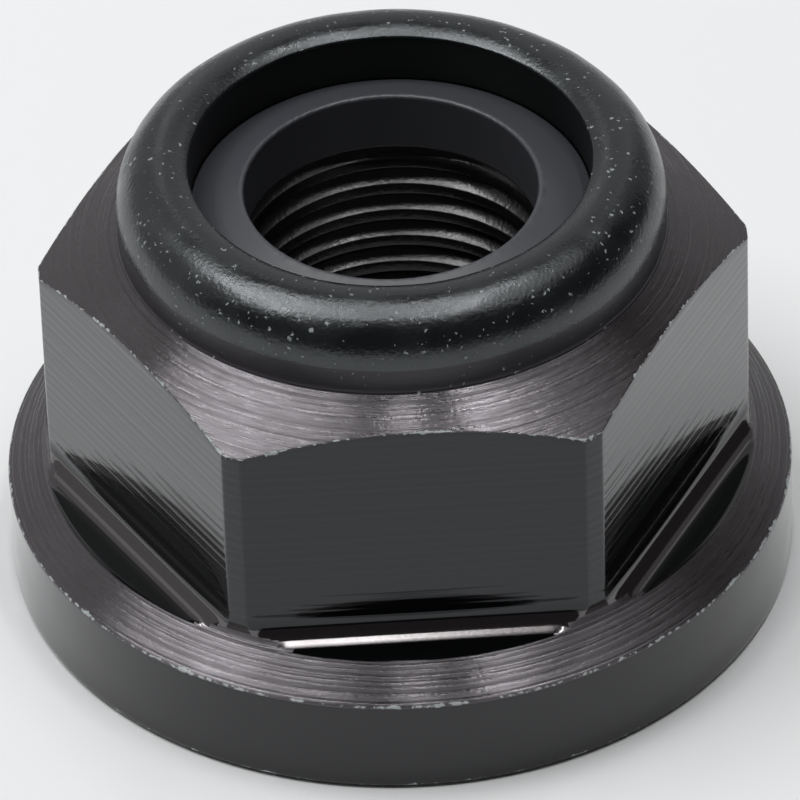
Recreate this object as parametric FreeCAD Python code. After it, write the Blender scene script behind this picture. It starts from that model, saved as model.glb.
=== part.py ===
import FreeCAD, Part
import math
import os

# Flanged lock nut with a plastic locking ring, standing on its bearing face.
# Millimetres. The origin is the centre of the bearing face, +Z runs up the thread axis,
# and two corners of the hexagon lie on the X axis.

# Hexagon
acrossFlats = 23.8
flatCount = 6
cornerTrim = 0.22          # turned off each corner, leaving a narrow round strip
stripLength = 8.65         # that strip, from the flange cone to the top chamfer
topChamferAngle = 27.0
footRadius = 0.9           # nose radius of the cutter that milled the flats
ledgeDrop = 0.12           # that cutter ran this far below the top of the flange cone

# Flange
rimHeight = 4.06
flangeOverhang = 1.63      # rim beyond the corners of the hexagon
flangeConeAngle = 35.0
bearingEdgeChamfer = 0.2
rimEdgeRadius = 0.35
cornerFootRadius = 0.3

# Thread, left plain at its crests
threadMajorDiameter = 12.7
threadDepth = 0.57
threadEntry = 0.25         # countersinks open this far beyond the outside of the thread

# Locking ring
ringGrip = 0.67            # its bore stands this far inside the outside of the thread
ringWidth = 2.89           # from its bore to its outside
ringClearance = 0.03
ringSwell = 0.97           # its inner rim stands this far above the underside of the lip
ringRimChamfer = 0.15

# Collar, rolled in over the locking ring
collarWall = 1.85
collarHeight = 3.17
grooveHeight = 1.5         # room for the ring below the lip
lipDepth = 2.45            # from the top of the collar down to the underside of the lip
lipOverhang = 0.95         # the lip covers this much of the groove
lipEdgeRadius = 0.5
crownFlat = 0.2            # between the round of the crown and the edge of the lip


def slope(degrees):
    return math.tan(math.radians(degrees))


threadRadius = threadMajorDiameter / 2 - threadDepth
entryRadius = threadMajorDiameter / 2 + threadEntry
entryDepth = entryRadius - threadRadius

ringBore = threadMajorDiameter / 2 - ringGrip
ringOutside = ringBore + ringWidth

grooveRadius = ringOutside + ringClearance
lipRadius = grooveRadius - lipOverhang
collarRadius = grooveRadius + collarWall
crownRadius = collarRadius - lipRadius - lipEdgeRadius - crownFlat

cornerRadius = acrossFlats / 2 / math.cos(math.pi / flatCount) - cornerTrim
flangeRadius = cornerRadius + flangeOverhang

coneTop = rimHeight + flangeOverhang * slope(flangeConeAngle)
ledgeHeight = coneTop - ledgeDrop
stripTop = coneTop + stripLength
neckHeight = stripTop + (cornerRadius - collarRadius) * slope(topChamferAngle)
totalHeight = neckHeight + collarHeight
grooveTop = totalHeight - lipDepth
seatHeight = grooveTop - grooveHeight


def roundedCorner(before, here, after, radius):
    """Where the round at a corner starts and ends, and its arc between those points."""
    if radius == 0:
        return here, None, here
    back = (before - here).normalize()
    ahead = (after - here).normalize()
    halfAngle = back.getAngle(ahead) / 2
    reach = radius / math.tan(halfAngle)
    inward = (back + ahead).normalize()
    start = here + back * reach
    middle = here + inward * (radius / math.sin(halfAngle) - radius)
    end = here + ahead * reach
    return start, Part.Arc(start, middle, end).toShape(), end


def profileFace(corners):
    """Flat face in the XZ plane, from the distance, height and round of each corner."""
    points = [FreeCAD.Vector(x, 0, z) for x, z, radius in corners]
    rounds = []
    for i in range(len(corners)):
        after = points[(i + 1) % len(points)]
        rounds.append(roundedCorner(points[i - 1], points[i], after, corners[i][2]))
    edges = []
    for i in range(len(rounds)):
        start, arc, end = rounds[i - 1]
        if arc:
            edges.append(arc)
        edges.append(Part.LineSegment(end, rounds[i][0]).toShape())
    return Part.Face(Part.Wire(edges))


def turned(corners):
    return profileFace(corners).revolve(FreeCAD.Vector(0, 0, 0), FreeCAD.Vector(0, 0, 1), 360)


def nutBlank():
    """The nut as it leaves the lathe, with its collar already rolled in."""
    return turned([
        (entryRadius, 0, 0),
        (flangeRadius - bearingEdgeChamfer, 0, 0),
        (flangeRadius, bearingEdgeChamfer, 0),
        (flangeRadius, rimHeight, rimEdgeRadius),
        (cornerRadius, coneTop, cornerFootRadius),
        (cornerRadius, stripTop, 0),
        (collarRadius, neckHeight, 0),
        (collarRadius, totalHeight, crownRadius),
        (lipRadius, totalHeight, lipEdgeRadius),
        (lipRadius, grooveTop, 0),
        (grooveRadius, grooveTop, 0),
        (grooveRadius, seatHeight, 0),
        (entryRadius, seatHeight, 0),
        (threadRadius, seatHeight - entryDepth, 0),
        (threadRadius, entryDepth, 0),
    ])


def flatCutter():
    """Metal milled off one side: the flat, its round foot and the ledge in the flange."""
    flat = acrossFlats / 2
    outside = flangeRadius + 1
    above = totalHeight + 1
    face = profileFace([
        (flat, ledgeHeight, footRadius),
        (outside, ledgeHeight, 0),
        (outside, above, 0),
        (flat, above, 0),
    ])
    face.translate(FreeCAD.Vector(0, -flangeRadius, 0))
    return face.extrude(FreeCAD.Vector(0, 2 * flangeRadius, 0))


def nutBody():
    body = nutBlank()
    step = 360 / flatCount
    for i in range(flatCount):
        cutter = flatCutter()
        cutter.rotate(FreeCAD.Vector(0, 0, 0), FreeCAD.Vector(0, 0, 1), (i + 0.5) * step)
        body = body.cut(cutter)
    return body


def lockingRing():
    """Plastic ring held in the groove, its top sloping up from the lip to its bore."""
    shoulder = grooveTop - ringClearance
    rim = grooveTop + ringSwell
    return turned([
        (ringBore, seatHeight, 0),
        (ringOutside, seatHeight, 0),
        (ringOutside, shoulder, 0),
        (lipRadius - ringClearance, shoulder, 0),
        (ringBore + ringRimChamfer, rim, 0),
        (ringBore, rim - ringRimChamfer, 0),
    ])


os.makedirs("parts", exist_ok=True)
nutBody().exportStep("parts/nut_body.step")
lockingRing().exportStep("parts/locking_ring.step")
print("flange diameter", 2 * flangeRadius, "height", totalHeight)
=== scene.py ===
import bpy
import bmesh
import math
from mathutils import Matrix, Vector, noise


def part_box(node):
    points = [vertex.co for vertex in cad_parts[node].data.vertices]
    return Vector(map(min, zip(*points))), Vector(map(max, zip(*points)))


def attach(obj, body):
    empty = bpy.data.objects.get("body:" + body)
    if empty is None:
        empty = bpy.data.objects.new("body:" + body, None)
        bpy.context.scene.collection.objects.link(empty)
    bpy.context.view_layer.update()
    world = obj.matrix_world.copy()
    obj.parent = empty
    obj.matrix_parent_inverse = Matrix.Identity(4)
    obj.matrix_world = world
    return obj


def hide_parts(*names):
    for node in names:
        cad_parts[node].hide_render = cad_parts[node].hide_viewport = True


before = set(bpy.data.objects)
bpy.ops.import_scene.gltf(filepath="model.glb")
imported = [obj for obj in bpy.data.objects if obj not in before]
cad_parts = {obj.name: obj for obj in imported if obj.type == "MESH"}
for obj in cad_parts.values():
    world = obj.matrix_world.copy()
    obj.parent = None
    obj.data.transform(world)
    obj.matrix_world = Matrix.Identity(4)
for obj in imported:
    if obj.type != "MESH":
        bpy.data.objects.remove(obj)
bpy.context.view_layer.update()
print("frame loaded")

mm = 0.001
weldDistance = 0.002 * mm


def toLinear(hexCode):
    channels = [int(hexCode[i:i + 2], 16) / 255 for i in (1, 3, 5)]
    return [c / 12.92 if c <= 0.04045 else ((c + 0.055) / 1.055) ** 2.4 for c in channels] + [1.0]


def addNode(tree, kind, inputs=None, **settings):
    # inputs: socket name or number to a value, or to the output socket that feeds it
    node = tree.nodes.new(kind)
    for name, value in settings.items():
        setattr(node, name, value)
    for name, value in (inputs or {}).items():
        if isinstance(value, bpy.types.NodeSocket):
            tree.links.new(value, node.inputs[name])
        else:
            node.inputs[name].default_value = value
    return node


def softMin(a, b, blend):
    # the smaller of two lengths, with the corner between them rounded over about the blend
    return min(a, b) - blend * math.log1p(math.exp(-abs(a - b) / blend))


def softMax(a, b, blend):
    return -softMin(-a, -b, blend)


def roundCorner(before, here, after, radius, steps):
    # points of the arc that rounds one corner of an outline, or the corner itself
    if radius == 0:
        return [here]
    back = (before - here).normalized()
    ahead = (after - here).normalized()
    half = back.angle(ahead) / 2
    centre = here + (back + ahead).normalized() * (radius / math.sin(half))
    start = here + back * (radius / math.tan(half)) - centre
    end = here + ahead * (radius / math.tan(half)) - centre
    turn = start.angle_signed(end)
    return [centre + Matrix.Rotation(-turn * i / steps, 2) @ start for i in range(steps + 1)]


def between(a, b, steps):
    # points strictly between two points of an outline, closer together at both ends
    return [a.lerp(b, 0.5 - 0.5 * math.cos(math.pi * i / (steps + 1))) for i in range(1, steps + 1)]


# Nut body: one turned and milled piece, in millimetres

nut = {
    "acrossFlats": 23.8,
    "cornerRadius": 13.521,
    "cornerBlend": 0.012,      # over which a flat rounds into the turned corner
    "chamferAngle": 27.0,
    "stripTop": 13.851,
    "bearingChamfer": 0.2,
    "rimHeight": 4.06,
    "rimRound": 0.16,
    "coneAngle": 35.0,
    "ledge": 5.081,
    "ledgeBlend": 0.06,        # over which the cone rounds into the turned corner
    "footRadius": 0.9,
    "footSteps": 14,
    "footRows": (2, 10),       # rows of the foot cut by the cutter's corner: from, up to
    "coneMargins": (0.01, 0.12),    # within which a row of the foot still counts as cone
    "neckRound": 0.12,
    "collarRadius": 10.45,
    "collarWaviness": 0.02,
    "waveScales": (0.45, 1.1),      # a wide wave and one of half its height, per millimetre
    "wavesFrom": 0.3,          # height above the neck
    "crownHeight": 2.1,
    "crownTop": 8.5,           # distance of the highest ring of the crown from the axis
    "crownSteps": 22,
    "innerCrownRadius": 1.6,
    "innerCrownSteps": 6,
    "lipRadius": 7.65,
    "lipEdgeRound": 0.12,
    "lipFootRound": 0.06,
    "lipDepth": 2.45,
    "grooveRadius": 8.6,
    "grooveHeight": 1.5,
    "entryRadius": 6.6,
    "edgeBreak": 0.05,         # round left on the sharp edges by tumbling
    "wearWidth": 0.2,
    "endWear": 0.4,            # wear at the two ends of a rounded edge, against 1 in its middle
    "cornerWear": 0.45,        # wear along the six upright corners
    "cornerWearFrom": 27.9,    # degrees from the middle of the flat
    "cornerWearReach": 0.5,
}
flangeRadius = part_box("nut_body")[1][0] / mm
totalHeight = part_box("nut_body")[1][2] / mm
coneSlope = math.tan(math.radians(nut["coneAngle"]))
chamferSlope = math.tan(math.radians(nut["chamferAngle"]))
neckHeight = nut["stripTop"] + (nut["cornerRadius"] - nut["collarRadius"]) * chamferSlope
crownLevel = totalHeight - 0.75 * nut["collarWaviness"]    # leaves room for the waves
grooveTop = totalHeight - nut["lipDepth"]
seatHeight = grooveTop - nut["grooveHeight"]
ledgeRadius = flangeRadius - (nut["ledge"] - nut["rimHeight"]) / coneSlope

# Columns of the mesh round the axis, closer together at the six corners
cornerSteps = [0.0, 0.8, 1.15, 1.4, 1.55, 1.65, 1.75, 1.9, 2.15, 2.6]    # degrees
flatSteps = 20
flatFrom = cornerSteps[-1]
halfSector = cornerSteps + [flatFrom + (30 - flatFrom) * i / flatSteps for i in range(1, flatSteps + 1)]
sector = halfSector + [60 - a for a in halfSector[-2:0:-1]]
columnAngles = [k * 60 + a for k in range(6) for a in sector]


def fromFlat(angle):
    # degrees from the middle of the nearest flat; the corners are at 0, 60, 120...
    return (angle % 60) - 30


def footPoints(angle):
    # the round foot of the flat, from the ledge up to where the flat begins, and its finishes
    cosine = math.cos(math.radians(fromFlat(angle)))
    centre = nut["acrossFlats"] / 2 + nut["footRadius"]
    steps = nut["footSteps"]
    firstRow, endRow = nut["footRows"]
    cutMargin, coneMargin = nut["coneMargins"]
    points = []
    zones = []
    for i in range(steps + 1):
        a = math.pi / 2 * i / steps
        height = nut["ledge"] + nut["footRadius"] * (1 - math.cos(a))
        milled = (centre - nut["footRadius"] * math.sin(a)) / cosine
        cone = flangeRadius - (height - nut["rimHeight"]) / coneSlope
        turned = softMax(cone, nut["cornerRadius"], nut["ledgeBlend"])
        points.append(Vector((softMin(milled, turned, nut["cornerBlend"]), height)))
        onCone = milled > turned - cutMargin and cone > nut["cornerRadius"] - coneMargin
        zones.append("turned" if onCone else "foot" if firstRow <= i < endRow else "milled")
    return points, zones


def crownPoints():
    # the rolled top of the collar, over its highest ring and down to the edge of the lip
    width = nut["collarRadius"] - nut["crownTop"]
    inner = nut["innerCrownRadius"]
    reach = math.asin((nut["crownTop"] - nut["lipRadius"]) / inner)
    steps = nut["crownSteps"]
    innerSteps = nut["innerCrownSteps"]
    outerCrown = [(nut["crownTop"] + width * math.cos(a), crownLevel - nut["crownHeight"] * (1 - math.sin(a)))
                  for a in (math.pi / 2 * i / steps for i in range(steps + 1))]
    innerCrown = [(nut["crownTop"] - inner * math.sin(a), crownLevel - inner * (1 - math.cos(a)))
                  for a in (reach * i / innerSteps for i in range(1, innerSteps + 1))]
    return outerCrown + innerCrown


def nutColumn(angle):
    # outline of the outside at one angle, from the thread's entry round to the ring's seat
    cosine = math.cos(math.radians(fromFlat(angle)))
    side = softMin(nut["acrossFlats"] / 2 / cosine, nut["cornerRadius"], nut["cornerBlend"])
    sideTop = nut["stripTop"] + (nut["cornerRadius"] - side) * chamferSlope
    foot, footZones = footPoints(angle)
    crown = crownPoints()
    edge = nut["edgeBreak"]
    corners = [
        # distance, height, round, steps in the round, steps to the next corner, zone to the next
        (nut["entryRadius"], 0, 0, 0, 2, "turned"),
        (flangeRadius - nut["bearingChamfer"], 0, edge, 2, 1, "turned"),
        (flangeRadius, nut["bearingChamfer"], edge, 2, 6, "rim"),
        (flangeRadius, nut["rimHeight"], nut["rimRound"], 6, 6, "turned"),
        (ledgeRadius, nut["ledge"], 0, 0, 2, "milled"),
        *[(p.x, p.y, 0, 0, 0, z) for p, z in zip(foot[:-1], footZones)],
        (foot[-1].x, foot[-1].y, 0, 0, 8, "milled"),
        (side, sideTop, edge, 3, 10, "turned"),
        (nut["collarRadius"], neckHeight, nut["neckRound"], 3, 3, "collar"),
        *[(x, z, 0, 0, 0, "rolled") for x, z in crown[:-1]],
        # from the lip's edge down, the inside of the lip takes the finish with painted shade
        (*crown[-1], nut["lipEdgeRound"], 5, 4, "lip"),
        (nut["lipRadius"], grooveTop, nut["lipFootRound"], 2, 1, "lip"),
        (nut["grooveRadius"], grooveTop, 0, 0, 1, "turned"),
        (nut["grooveRadius"], seatHeight, 0, 0, 1, "turned"),
        (nut["entryRadius"], seatHeight, 0, 0, 0, "turned"),
    ]
    places = [Vector(c[:2]) for c in corners]
    points = []
    zones = []
    wear = []
    for i, corner in enumerate(corners):
        radius, roundSteps, _, zone = corner[2:]
        stepsBefore, zoneBefore = corners[i - 1][4:]
        before = places[max(i - 1, 0)]
        after = places[min(i + 1, len(places) - 1)]
        arc = roundCorner(before, places[i], after, radius, roundSteps)
        if i > 0:
            run = between(points[-1], arc[0], stepsBefore)
            points += run
            wear += [0.0] * len(run)
            zones += [zoneBefore] * (len(run) + 1)
        points += arc
        zones += [zoneBefore if zone == "lip" else zone] * (len(arc) - 1)
        worn = 1.0 if radius in (edge, nut["rimRound"]) else 0.0
        least = nut["endWear"]
        last = len(arc) - 1
        wear += [worn * (least + (1 - least) * math.sin(math.pi * k / last)) if last > 0 else 0.0
                 for k in range(len(arc))]
    crests = [p for p, w in zip(points, wear) if w > 0.9]    # the middles of the worn edges
    near = [min((p - c).length for c in crests) for p in points]
    wear = [max(w, 1 - d / nut["wearWidth"]) for w, d in zip(wear, near)]
    if abs(fromFlat(angle)) > nut["cornerWearFrom"]:
        outside = foot[-1].x - nut["cornerWearReach"]
        wear = [max(w, nut["cornerWear"]) if foot[-1].y < p.y < sideTop and p.x > outside else w
                for p, w in zip(points, wear)]
    return points, zones, wear


# Thread of the bore, in millimetres: a flat crest, a flat root, and flanks at 30 degrees

thread = {
    "crestRadius": 5.78,
    "rootRadius": 6.35,
    "pitch": 1.27,
    "flankAngle": 30,
    "crestEdge": 0.03,         # rows of the mesh this far to either side of the crest's edge
    "crestEdgeDrop": 0.008,    # how far the crest's edge is rounded down
}
threadDepth = thread["rootRadius"] - thread["crestRadius"]
flank = threadDepth * math.tan(math.radians(thread["flankAngle"]))
halfRoot = thread["pitch"] / 16
halfCrest = thread["pitch"] / 2 - halfRoot - flank


def threadRadius(phase):
    # distance of the thread's surface from the axis, phase in millimetres along one pitch
    offset = abs((phase + thread["pitch"] / 2) % thread["pitch"] - thread["pitch"] / 2)
    rise = (offset - halfCrest) / flank
    return thread["crestRadius"] + threadDepth * min(max(rise, 0), 1)


def threadRows():
    # phases of the mesh rows along one pitch, closer together at the edges of the crest
    edge = thread["crestEdge"]
    lower = [-halfCrest - edge, -halfCrest, -halfCrest + edge]
    upper = [halfCrest - edge, halfCrest, halfCrest + edge]
    return lower + [0] + upper + [halfCrest + flank, thread["pitch"] / 2, thread["pitch"] - halfCrest - flank]


def threadColumn(angle):
    # outline of the threaded bore at one angle, from the seat of the ring down to the bearing face
    phases = threadRows()
    turns = math.ceil(seatHeight / thread["pitch"]) + 1
    points = []
    for turn in range(turns, -2, -1):
        for phase in reversed(phases):
            height = turn * thread["pitch"] + phase - thread["pitch"] * angle / 360   # a left-hand helix
            radius = threadRadius(phase)
            if abs(abs(phase) - halfCrest) < 1e-6:
                radius += thread["crestEdgeDrop"]
            clipped = min(max(height, 0), seatHeight)
            entry = max(nut["entryRadius"] - clipped, nut["entryRadius"] - (seatHeight - clipped))
            points.append(Vector((max(radius, entry), clipped)))
    return points


def turnedPoint(point, angle):
    a = math.radians(angle)
    return Vector((point.x * math.cos(a), point.x * math.sin(a), point.y))


def weldedObject(name, mesh):
    work = bmesh.new()
    work.from_mesh(mesh)
    bmesh.ops.remove_doubles(work, verts=work.verts, dist=weldDistance)
    bmesh.ops.dissolve_degenerate(work, dist=weldDistance / 10, edges=work.edges)
    bmesh.ops.recalc_face_normals(work, faces=work.faces)
    loose = [v for v in work.verts if not v.link_faces]
    bmesh.ops.delete(work, geom=loose, context="VERTS")
    work.to_mesh(mesh)
    triangles = sum(len(f.verts) - 2 for f in work.faces)
    openEdges = sum(1 for e in work.edges if len(e.link_faces) != 2)
    print(name, "triangles", triangles, "open or crowded edges", openEdges)
    work.free()
    for polygon in mesh.polygons:
        polygon.use_smooth = True
    piece = bpy.data.objects.new(name, mesh)
    bpy.context.scene.collection.objects.link(piece)
    return piece


zoneNames = ["turned", "milled", "foot", "rim", "collar", "rolled", "lip", "threaded"]


def makeNut():
    vertices = []
    wear = []
    faces = []
    faceZones = []
    count = len(columnAngles)
    rows = len(nutColumn(0)[0])
    allZones = []
    wide, narrow = nut["waveScales"]
    for angle in columnAngles:
        points, zones, columnWear = nutColumn(angle)
        allZones.append(zones)
        for point in points:
            place = turnedPoint(point, angle)
            if point.y > neckHeight + nut["wavesFrom"] and point.x > nut["lipRadius"] - 0.01:
                wave = noise.noise(place * wide) + 0.5 * noise.noise(place * narrow)
                place *= 1 + wave * nut["collarWaviness"] / place.length
            vertices.append(place * mm)
        wear += columnWear
    for c in range(count):
        here = c * rows
        there = ((c + 1) % count) * rows
        for r in range(rows - 1):
            faces.append((here + r, there + r, there + r + 1, here + r + 1))
            faceZones.append(zoneNames.index(allZones[c][r]))
    # the thread has its own columns, with one more at the end, where it has climbed by a pitch
    start = len(vertices)
    threadCount = len(threadColumn(0))
    for angle in columnAngles + [360]:
        vertices += [turnedPoint(p, angle % 360) * mm for p in threadColumn(angle)]
    wear += [0.0] * (len(vertices) - start)
    for c in range(count):
        here = start + c * threadCount
        there = here + threadCount
        for r in range(threadCount - 1):
            faces.append((here + r, there + r, there + r + 1, here + r + 1))
            faceZones.append(zoneNames.index("threaded"))
    mesh = bpy.data.meshes.new("nutBody")
    mesh.from_pydata(vertices, [], faces)
    mesh.attributes.new("wear", "FLOAT", "POINT").data.foreach_set("value", wear)
    mesh.polygons.foreach_set("material_index", faceZones)
    return weldedObject("nutBody", mesh)


# Locking ring, in millimetres

ring = {
    "bore": 5.58,
    "outside": 8.57,
    "shoulderGap": 0.03,
    "rimHeight": 0.97,
    "rimRound": 0.13,
    "swell": 0.2,          # how far the plastic has risen along the lip
    "raggedness": 0.02,
    "raggedScale": 5,      # bumps per millimetre
    "raggedReach": 0.2,    # from the rim's inner edge
    "columns": 600,
}


def makeRing():
    shoulder = grooveTop - ring["shoulderGap"]
    rim = grooveTop + ring["rimHeight"]
    innerLip = nut["lipRadius"] - ring["shoulderGap"]
    corners = [
        # distance, height, round, steps in the round, steps to the next corner
        (ring["bore"], seatHeight, 0, 0, 2),
        (ring["outside"], seatHeight, 0, 0, 1),
        (ring["outside"], shoulder, 0, 0, 1),
        (innerLip, shoulder, 0, 0, 1),
        (innerLip, shoulder + ring["swell"], 0, 0, 8),
        (ring["bore"], rim, ring["rimRound"], 8, 8),
    ]
    places = [Vector(c[:2]) for c in corners]
    outline = []
    for i, corner in enumerate(corners):
        radius, roundSteps = corner[2:4]
        arc = roundCorner(places[i - 1], places[i], places[(i + 1) % len(places)], radius, roundSteps)
        if i > 0:
            outline += between(outline[-1], arc[0], corners[i - 1][4])
        outline += arc
    outline += between(outline[-1], outline[0], corners[-1][4])
    columns = ring["columns"]
    reach = ring["raggedReach"]
    vertices = []
    faces = []
    for c in range(columns):
        for point in outline:
            place = turnedPoint(point, 360 * c / columns)
            if point.y > rim - reach and point.x < ring["bore"] + reach:
                place *= 1 + noise.noise(place * ring["raggedScale"]) * ring["raggedness"] / place.length
            vertices.append(place * mm)
    size = len(outline)
    for c in range(columns):
        for r in range(size):
            here = c * size
            there = ((c + 1) % columns) * size
            nextRow = (r + 1) % size
            faces.append((here + r, there + r, there + nextRow, here + nextRow))
    mesh = bpy.data.meshes.new("lockingRing")
    mesh.from_pydata(vertices, [], faces)
    return weldedObject("lockingRing", mesh)


nutBody = makeNut()
lockingRing = makeRing()
for piece, node in ((nutBody, "nut_body"), (lockingRing, "locking_ring")):
    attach(piece, "root")
    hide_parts(node)
    modifier = piece.modifiers.new("evenShading", "WEIGHTED_NORMAL")
    modifier.keep_sharp = True
print("pieces built")


# Black oxide on the nut, lengths in millimetres. The oxide is a thin film and not bare metal, so
# the IOR is set by how strongly each surface shines.

blackFinish = {
    # pale bare metal of the chips, also used for the dents, where it is partly a painted glint
    "wornAndGlintColour": "#a9b0b0",
    "wornRoughness": 0.45,
    "wornRange": (1.48, 1.56),      # sum of the three patterns at which the metal begins and is all bare
    "edgeWeight": 0.6,
    "patchWeight": 0.8,
    "oiled": ("milled", "rim"),     # smooth enough for the film of oil to show
    "oilIor": 1.32,
    "grainSize": 0.16,
    "chipSize": 0.2,
    "patchSize": 1.3,
    "streakAcross": 0.16,
    "streakAlong": 0.75,
    "streakRadius": 12,      # distance from the axis at which a streak has its stated length
    "passSpacing": 0.39,     # step from one pass of the milling cutter to the next
    "scallopHeight": 0.0055,
    "dentSpacing": 0.34,
    "dentBend": 0.28,        # how far a dent's outline is pulled out of round
    "raggedSize": 0.12,
    "dentCrowding": -0.6,
    "dentRange": (-0.14, -0.24),
    "dentRarer": 0.06,       # shift of that range where a finish has fewer dents
    # how pale the dents are painted: partly bare metal, partly a painted glint
    "dentWearAndGlint": 0.65,
    "dentHeight": -0.012,
}

# mottling is how much the roughness varies, drawn how much the shine is drawn out across the cut.
# A lathe's feed marks are finer than drawn here, so that they show at this size.
finishes = {
    # the tool's rings spread the shine across the cut, into bright lobes on the cones
    "turned": {
        "colour": "#161212", "shine": "#fbf5fc", "ior": 2.15, "roughness": 0.31, "mottling": 0.6,
        "drawn": 1.0, "feedSpacing": 0.24, "feedHeight": 0.04, "streakHeight": 0.016,
        "grainHeight": 0.005, "dentsAndGlints": 0.0,
    },
    # the cutter's passes leave the flats nearly mirror smooth, with faint level bands
    "milled": {
        "colour": "#08090a", "shine": "#f4f8ff", "ior": 1.39, "roughness": 0.06, "mottling": 0.0,
        "drawn": 0.0, "feedSpacing": 0.42, "feedHeight": 0.014, "streakHeight": 0.0,
        "grainHeight": 0.0004, "dentsAndGlints": 0.0,
    },
    # the cutter's round corner gives a tight bright line in a dark hollow
    "foot": {
        "colour": "#1a1617", "shine": "#fbf5f6", "ior": 2.1, "roughness": 0.11, "mottling": 0.06,
        "drawn": 0.0, "feedSpacing": 0.42, "feedHeight": 0.002, "streakHeight": 0.0,
        "grainHeight": 0.0008, "dentsAndGlints": 0.0,
    },
    # the flange's edge is turned fine and reflects the room softly
    "rim": {
        "colour": "#0c0c0e", "shine": "#f8f9fd", "ior": 1.38, "roughness": 0.14, "mottling": 0.1,
        "drawn": 0.0, "feedSpacing": 0.25, "feedHeight": 0.0006, "streakHeight": 0.001,
        "grainHeight": 0.0012, "dentsAndGlints": 0.0,
    },
    # the collar's wall is duller where it was bent, with a few dents whose pale colour is partly bare metal
    # and partly a painted glint
    "collar": {
        "colour": "#242226", "shine": "#f6f1f9", "ior": 1.55, "roughness": 0.3, "mottling": 0.1,
        "drawn": 0.0, "feedSpacing": 0.6, "feedHeight": 0.0, "streakHeight": 0.003,
        "grainHeight": 0.004, "dentsAndGlints": 0.3,
    },
    # the rolling tool left a satin crown, speckled with small dents whose pale colour is partly bare metal
    # and partly a painted glint
    "rolled": {
        "colour": "#0c0f11", "shine": "#f1f7fa", "ior": 1.75, "roughness": 0.27, "mottling": 0.3,
        "drawn": 0.0, "feedSpacing": 0.6, "feedHeight": 0.0, "streakHeight": 0.004,
        "grainHeight": 0.014, "dentsAndGlints": 1.0,
    },
    # painted shade: the inside of the lip gets a near-black colour and a weak shine, so that it reads as the
    # black shaded gap round the ring
    "lip": {
        "colour": "#050606", "shine": "#f2f9f8", "ior": 1.3, "roughness": 0.3, "mottling": 0.0,
        "drawn": 0.0, "feedSpacing": 0.6, "feedHeight": 0.0, "streakHeight": 0.002,
        "grainHeight": 0.002, "dentsAndGlints": 0.0,
    },
    # the tapped thread glints along its flanks
    "threaded": {
        "colour": "#151515", "shine": "#f8f8fa", "ior": 1.68, "roughness": 0.24, "mottling": 0.2,
        "drawn": 0.0, "feedSpacing": 0.3, "feedHeight": 0.003, "streakHeight": 0.008,
        "grainHeight": 0.012, "dentsAndGlints": 0.0,
    },
}


def roundTheAxis(tree, place):
    # coordinates that run round the axis, so that a pattern of them is drawn out along the cut,
    # and the way over the surface from one turn of the cut to the next
    around = blackFinish["streakRadius"] / blackFinish["streakAlong"]
    across = 1 / (blackFinish["streakAcross"] * mm)
    flat = addNode(tree, "ShaderNodeVectorMath", {0: place, 1: (1, 1, 0)}, operation="MULTIPLY").outputs[0]
    away = addNode(tree, "ShaderNodeVectorMath", {0: flat}, operation="LENGTH").outputs["Value"]
    facing = addNode(tree, "ShaderNodeVectorMath", {0: flat}, operation="NORMALIZE").outputs["Vector"]
    turned = addNode(tree, "ShaderNodeVectorMath", {0: facing, "Scale": around}, operation="SCALE").outputs[0]
    height = addNode(tree, "ShaderNodeSeparateXYZ", {0: place}).outputs["Z"]
    side = addNode(tree, "ShaderNodeMath", {0: away, 1: height}, operation="SUBTRACT").outputs[0]
    steps = addNode(tree, "ShaderNodeMath", {0: side, 1: across}, operation="MULTIPLY").outputs[0]
    lift = addNode(tree, "ShaderNodeCombineXYZ", {"Z": steps}).outputs["Vector"]
    return addNode(tree, "ShaderNodeVectorMath", {0: turned, 1: lift}, operation="ADD").outputs[0], side


def addHeights(tree, parts):
    # sum of pattern times height in millimetres
    total = None
    for pattern, height in parts:
        if height == 0:
            continue
        inputs = {0: pattern, 1: height, 2: total if total else 0.0}
        total = addNode(tree, "ShaderNodeMath", inputs, operation="MULTIPLY_ADD").outputs[0]
    return total


def addPaleDentsAndGlints(tree, place, patches, dentsAndGlints):
    # small dents, out of round and crowded together in patches; their pale colour is partly bare metal and
    # partly a painted glint
    ragged = addNode(tree, "ShaderNodeTexNoise", {
        "Vector": place,
        "Scale": 1 / (blackFinish["raggedSize"] * mm),
        "Detail": 2.0,
    }).outputs["Color"]
    shift = [blackFinish["dentBend"] * mm] * 3
    bent = addNode(tree, "ShaderNodeVectorMath", {0: ragged, 1: shift, 2: place},
                   operation="MULTIPLY_ADD").outputs["Vector"]
    dots = addNode(tree, "ShaderNodeTexVoronoi", {
        "Vector": bent,
        "Scale": 1 / (blackFinish["dentSpacing"] * mm),
    }).outputs["Distance"]
    crowded = addNode(tree, "ShaderNodeMath", {0: patches, 1: blackFinish["dentCrowding"], 2: dots},
                      operation="MULTIPLY_ADD").outputs[0]
    begin, full = blackFinish["dentRange"]
    rarer = blackFinish["dentRarer"] * (1 - dentsAndGlints)
    return addNode(tree, "ShaderNodeMapRange", {
        "Value": crowded,
        "From Min": begin - rarer,
        "From Max": full - rarer,
        "To Max": blackFinish["dentWearAndGlint"],
    }).outputs["Result"]


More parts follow.
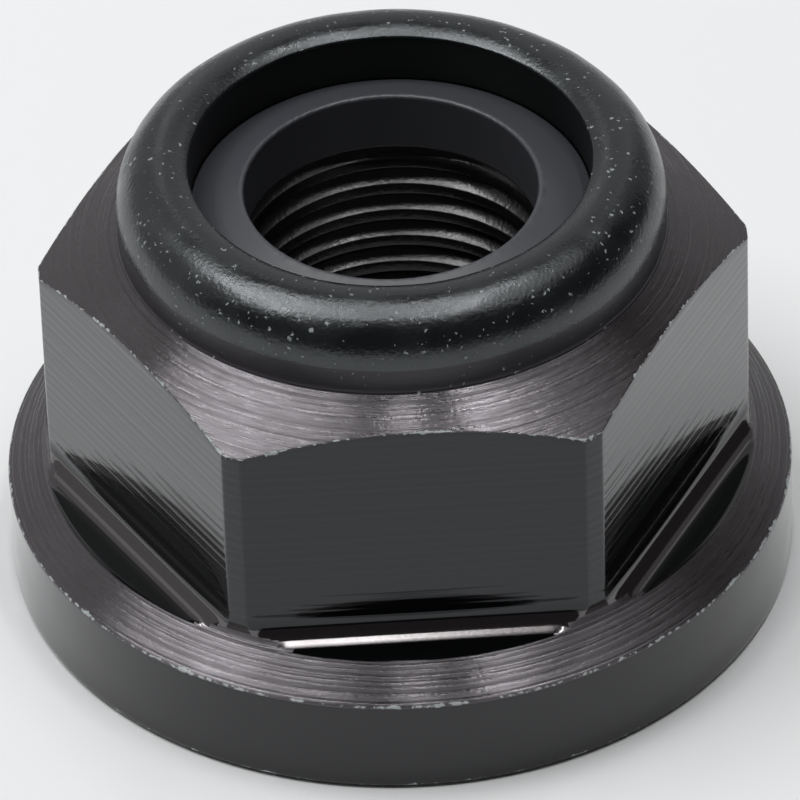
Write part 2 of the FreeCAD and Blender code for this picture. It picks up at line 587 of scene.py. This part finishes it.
def blackOxide(zone):
    finish = finishes[zone]
    material = bpy.data.materials.new("blackOxide" + zone.capitalize())
    material.use_nodes = True
    tree = material.node_tree
    tree.nodes.clear()
    place = addNode(tree, "ShaderNodeTexCoord").outputs["Object"]
    around, side = roundTheAxis(tree, place)
    level = addNode(tree, "ShaderNodeSeparateXYZ", {0: place}).outputs["Z"]
    feed = addNode(tree, "ShaderNodeTexNoise", {
        "W": side if zone == "turned" else level,
        "Scale": 1 / (finish["feedSpacing"] * mm),
        "Detail": 1.5,
    }, noise_dimensions="1D").outputs["Fac"]
    streaks = addNode(tree, "ShaderNodeTexNoise", {
        "Vector": around,
        "Scale": 1.0,
        "Detail": 3.0,
    }).outputs["Fac"]
    grain = addNode(tree, "ShaderNodeTexNoise", {
        "Vector": place,
        "Scale": 1 / (blackFinish["grainSize"] * mm),
        "Detail": 2.0,
    }).outputs["Fac"]
    patches = addNode(tree, "ShaderNodeTexNoise", {
        "Vector": place,
        "Scale": 1 / (blackFinish["patchSize"] * mm),
        "Detail": 2.0,
    }).outputs["Fac"]
    chips = addNode(tree, "ShaderNodeTexNoise", {
        "Vector": place,
        "Scale": 1 / (blackFinish["chipSize"] * mm),
        "Detail": 3.0,
    }).outputs["Fac"]

    # chips of bare metal, on the worn edges and in patches
    edge = addNode(tree, "ShaderNodeAttribute", attribute_name="wear").outputs["Fac"]
    edgeChips = addNode(tree, "ShaderNodeMath", {0: edge, 1: blackFinish["edgeWeight"], 2: chips},
                        operation="MULTIPLY_ADD").outputs[0]
    clumps = addNode(tree, "ShaderNodeMath", {0: patches, 1: blackFinish["patchWeight"], 2: edgeChips},
                     operation="MULTIPLY_ADD").outputs[0]
    begin, full = blackFinish["wornRange"]
    worn = addNode(tree, "ShaderNodeMapRange", {
        "Value": clumps,
        "From Min": begin,
        "From Max": full,
    }).outputs["Result"]
    # the pale dents join the worn chips; their paleness is partly bare metal and partly a painted glint
    if finish["dentsAndGlints"] > 0:
        paleDentsAndGlints = addPaleDentsAndGlints(tree, place, patches, finish["dentsAndGlints"])
        worn = addNode(tree, "ShaderNodeMath", {0: worn, 1: paleDentsAndGlints}, operation="MAXIMUM").outputs[0]

    # relief: the feed, the hollows between the milling passes, streaks, grain, and the dents
    passes = addNode(tree, "ShaderNodeMath", {0: level, 1: 1 / (blackFinish["passSpacing"] * mm)},
                     operation="MULTIPLY").outputs[0]
    within = addNode(tree, "ShaderNodeMath", {0: passes}, operation="FRACT").outputs[0]
    across = addNode(tree, "ShaderNodeMath", {0: within, 1: 0.5}, operation="SUBTRACT").outputs[0]
    scallop = addNode(tree, "ShaderNodeMath", {0: across, 1: across}, operation="MULTIPLY").outputs[0]
    height = addHeights(tree, [
        (feed, finish["feedHeight"]),
        (scallop, 4 * blackFinish["scallopHeight"] if zone == "milled" else 0),
        (streaks, finish["streakHeight"]),
        (grain, finish["grainHeight"]),
        (worn, blackFinish["dentHeight"]),
    ])
    bump = addNode(tree, "ShaderNodeBump", {"Distance": mm, "Height": height}).outputs["Normal"]

    mottled = patches
    if finish["drawn"] > 0:
        mottled = addNode(tree, "ShaderNodeMath", {0: streaks, 1: feed}, operation="ADD").outputs[0]
        mottled = addNode(tree, "ShaderNodeMath", {0: mottled, 1: 0.5}, operation="MULTIPLY").outputs[0]
    smoothest = finish["roughness"] - finish["mottling"] / 2
    uneven = addNode(tree, "ShaderNodeMath", {0: mottled, 1: finish["mottling"], 2: smoothest},
                     operation="MULTIPLY_ADD").outputs[0]
    painted = addNode(tree, "ShaderNodeMix", {
        "Factor": worn,
        6: toLinear(finish["colour"]),      # 6, 7 and output 2 are the sockets for colours
        7: toLinear(blackFinish["wornAndGlintColour"]),
    }, data_type="RGBA").outputs[2]
    rough = addNode(tree, "ShaderNodeMapRange", {
        "Value": worn,
        "To Min": uneven,
        "To Max": blackFinish["wornRoughness"],
    }).outputs["Result"]
    shader = addNode(tree, "ShaderNodeBsdfPrincipled", {
        "Base Color": painted,
        "Roughness": rough,
        "IOR": finish["ior"],
        "Specular Tint": toLinear(finish["shine"]),
        "Normal": bump,
    })
    if zone in blackFinish["oiled"]:
        shader.inputs["Coat Weight"].default_value = 1.0
        shader.inputs["Coat IOR"].default_value = blackFinish["oilIor"]
        shader.inputs["Coat Roughness"].default_value = finish["roughness"]
    if finish["drawn"] > 0:
        shader.inputs["Anisotropic"].default_value = finish["drawn"]
        shader.inputs["Anisotropic Rotation"].default_value = 0.25    # the shine spreads across the cut
        tangent = addNode(tree, "ShaderNodeTangent", direction_type="RADIAL", axis="Z").outputs["Tangent"]
        tree.links.new(tangent, shader.inputs["Tangent"])
    addNode(tree, "ShaderNodeOutputMaterial", {"Surface": shader.outputs[0]})
    return material


# Moulded black nylon of the ring: satin and a little grainy, so it looks greyer than the oxide

nylon = {
    "colour": "#424348",
    "roughness": 0.38,
    "ior": 1.53,
    "grainSize": 0.15,
    "grainHeight": 0.01,
    "grainStrength": 0.2,
}


def mouldedNylon():
    material = bpy.data.materials.new("mouldedBlackNylon")
    material.use_nodes = True
    tree = material.node_tree
    tree.nodes.clear()
    place = addNode(tree, "ShaderNodeTexCoord").outputs["Object"]
    grain = addNode(tree, "ShaderNodeTexNoise", {
        "Vector": place,
        "Scale": 1 / (nylon["grainSize"] * mm),
        "Detail": 3.0,
    }).outputs["Fac"]
    bump = addNode(tree, "ShaderNodeBump", {
        "Strength": nylon["grainStrength"],
        "Distance": nylon["grainHeight"] * mm,
        "Height": grain,
    }).outputs["Normal"]
    shader = addNode(tree, "ShaderNodeBsdfPrincipled", {
        "Base Color": toLinear(nylon["colour"]),
        "Roughness": nylon["roughness"],
        "IOR": nylon["ior"],
        "Normal": bump,
    })
    addNode(tree, "ShaderNodeOutputMaterial", {"Surface": shader.outputs[0]})
    return material


for zone in zoneNames:
    nutBody.data.materials.append(blackOxide(zone))
lockingRing.data.materials.append(mouldedNylon())
print("materials made")


# Floor and light, in metres

studio = {
    "floorSize": 3.0,
    "floorColour": "#eeeff0",
    "floorRoughness": 0.8,
    "worldColour": "#ffffff",
    "worldStrength": 0.04,
    "ceiling": 0.5,
    "wallDistance": 0.55,
    # strips on the ceiling, front to back: place to the right, width, from, to, brightness
    "ceilingStrips": {
        "outerLeftStrip": (-0.37, 0.06, -0.18, 0.2, 8.5),
        "farLeftStrip": (-0.285, 0.035, -0.18, 0.2, 15.0),
        "midLeftStrip": (-0.2, 0.022, -0.18, 0.2, 11.0),
        "leftStrip": (-0.134, 0.022, -0.18, 0.2, 12.0),
        "innerLeftStrip": (-0.085, 0.014, -0.18, 0.2, 10.0),
        "middleStrip": (0.006, 0.022, -0.18, 0.2, 12.0),
        "rightStrip": (0.114, 0.02, -0.18, 0.2, 25.0),
        "farRightStrip": (0.26, 0.22, -0.18, 0.2, 1.1),
    },
    # panels on the walls: degrees round from the back, degrees above the floor, width, height, brightness
    "wallPanels": {
        "leftPanel": (282, 26, 0.42, 0.5, 0.32),
        "backLeftPanel": (325, 26, 0.46, 0.5, 0.36),
        "backPanel": (8, 26, 0.44, 0.5, 0.42),
        "backRightPanel": (42, 26, 0.24, 0.5, 0.2),
    },
}


def makeFloor():
    half = studio["floorSize"] / 2
    corners = [(-half, -half, 0), (half, -half, 0), (half, half, 0), (-half, half, 0)]
    mesh = bpy.data.meshes.new("floor")
    mesh.from_pydata(corners, [], [(0, 1, 2, 3)])
    floor = bpy.data.objects.new("floor", mesh)
    bpy.context.scene.collection.objects.link(floor)
    material = bpy.data.materials.new("paleFloor")
    material.use_nodes = True
    shader = material.node_tree.nodes["Principled BSDF"]
    shader.inputs["Base Color"].default_value = toLinear(studio["floorColour"])
    shader.inputs["Roughness"].default_value = studio["floorRoughness"]
    mesh.materials.append(material)


def addPanel(name, place, facing, width, height, brightness):
    # a soft light that gives off the same brightness all over its face
    light = bpy.data.lights.new(name, "AREA")
    light.shape = "RECTANGLE"
    light.size = width
    light.size_y = height
    light.energy = math.pi * width * height * brightness
    lamp = bpy.data.objects.new(name, light)
    lamp.location = place
    lamp.rotation_euler = (-facing).to_track_quat("Z", "Y").to_euler()
    bpy.context.scene.collection.objects.link(lamp)


def makeLight():
    world = bpy.data.worlds.new("studio")
    world.use_nodes = True
    background = world.node_tree.nodes["Background"]
    background.inputs["Color"].default_value = toLinear(studio["worldColour"])
    background.inputs["Strength"].default_value = studio["worldStrength"]
    bpy.context.scene.world = world
    for name, (across, width, near, far, brightness) in studio["ceilingStrips"].items():
        place = Vector((across, (near + far) / 2, studio["ceiling"]))
        addPanel(name, place, Vector((0, 0, -1)), width, far - near, brightness)
    for name, (turn, elevation, width, height, brightness) in studio["wallPanels"].items():
        e = math.radians(elevation)
        a = math.radians(turn)
        towards = Vector((math.sin(a) * math.cos(e), math.cos(a) * math.cos(e), math.sin(e)))
        addPanel(name, towards * studio["wallDistance"], -towards, width, height, brightness)


# Camera at the photograph's view: distance, aim, lens and sensor in millimetres, clipping in metres

view = {
    "elevation": 39.18,
    "turn": 2.276,          # the camera stands this far to the left of the front flat's normal
    "roll": -1.94,
    "distance": 378.75,
    "aim": (0.074, -0.003, 6.586),
    "lens": 442.4,
    "sensor": 36.0,
    "clipStart": 0.01,
    "clipEnd": 10,
}


def makeCamera():
    data = bpy.data.cameras.new("photoView")
    data.lens = view["lens"]
    data.sensor_width = view["sensor"]
    data.sensor_fit = "HORIZONTAL"
    data.clip_start = view["clipStart"]
    data.clip_end = view["clipEnd"]
    camera = bpy.data.objects.new("photoView", data)
    elevation = math.radians(view["elevation"])
    turn = Matrix.Rotation(-math.radians(view["turn"]), 3, "Z")
    forward = turn @ Vector((0, math.cos(elevation), -math.sin(elevation)))
    level = turn @ Vector((1, 0, 0))
    upright = level.cross(forward)
    roll = math.radians(view["roll"])
    right = level * math.cos(roll) + upright * math.sin(roll)
    up = upright * math.cos(roll) - level * math.sin(roll)
    place = (Vector(view["aim"]) - forward * view["distance"]) * mm
    axes = Matrix((right, up, -forward)).transposed()
    camera.matrix_world = Matrix.Translation(place) @ axes.to_4x4()
    bpy.context.scene.collection.objects.link(camera)
    bpy.context.scene.camera = camera


makeFloor()
makeLight()
makeCamera()
bpy.context.scene.view_settings.view_transform = "Standard"
print("floor, light and camera set")
